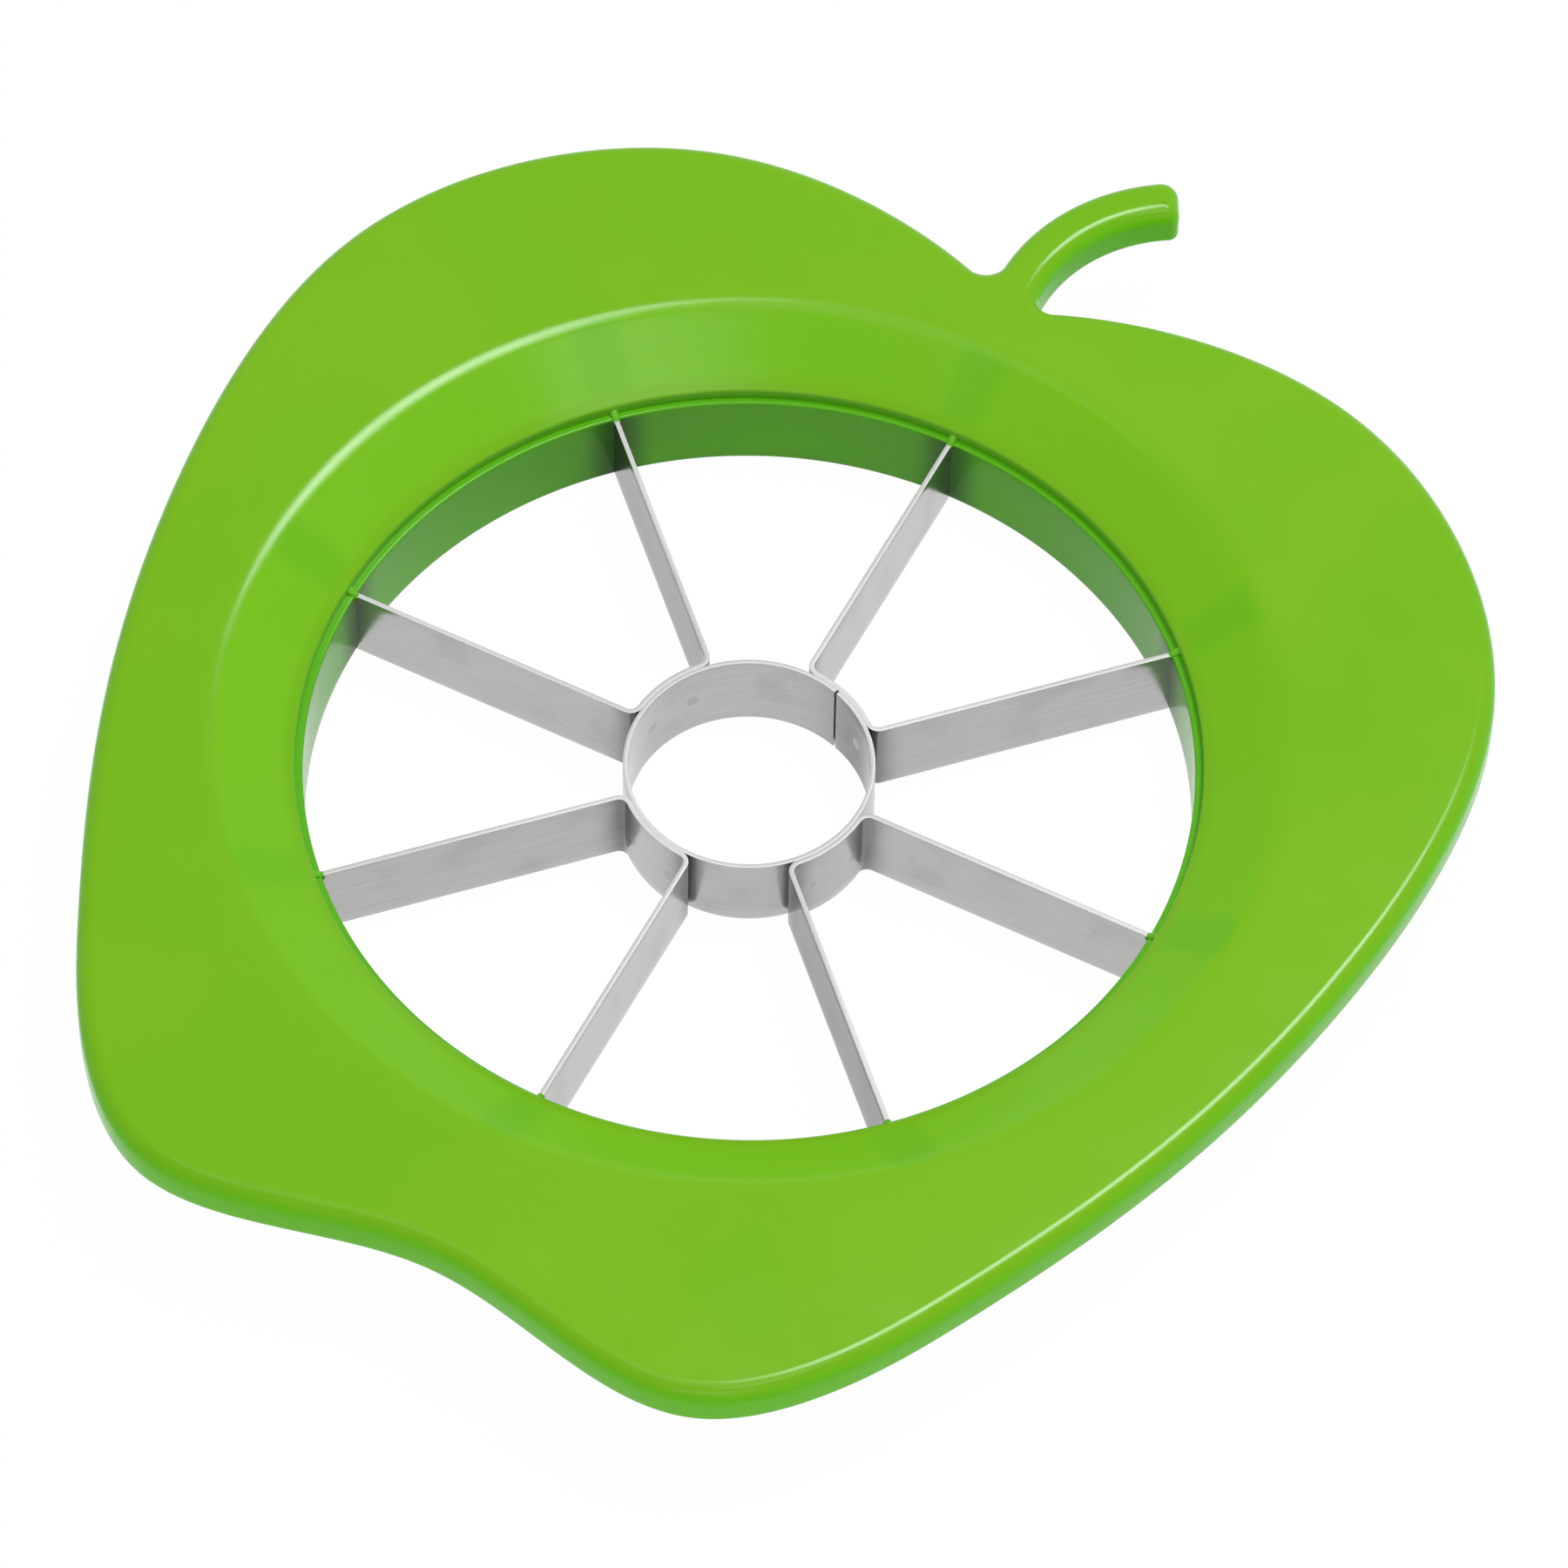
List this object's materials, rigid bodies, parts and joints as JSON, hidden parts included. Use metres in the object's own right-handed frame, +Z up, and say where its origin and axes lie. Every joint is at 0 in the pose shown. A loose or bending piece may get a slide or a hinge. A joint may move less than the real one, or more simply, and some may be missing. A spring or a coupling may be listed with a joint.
{
  "type": "apple slicer wedger press",
  "caption": "Hand-pressed apple slicer: an apple-shaped moulded flange round a funnel and a ring that holds radial blades and a core ring, to cut a pushed-through apple into wedges.",
  "frame": {"origin": "centre of the core ring's lower opening, on the blade ring's axis, in the plane that the ring stands on", "axes": "+Z up along the ring's axis, from the cutting edges towards the funnel that the apple enters; +Y towards the stem of the apple shape"},
  "size_m": [0.1358, 0.155, 0.0153],
  "materials": {
    "green_plastic": "smooth glossy apple green moulding",
    "blade_steel": "fine lengthwise brushed stainless steel",
    "weld_steel": "slightly darker round spot weld marks"
  },
  "bodies": {
    "root": {"apple_frame": "green_plastic", "core_ring": "blade_steel", "blade_strip_1": "blade_steel", "blade_strip_2": "blade_steel", "blade_strip_3": "blade_steel", "blade_strip_4": "blade_steel", "weld_nuggets": "weld_steel"}
  },
  "joints": []
}
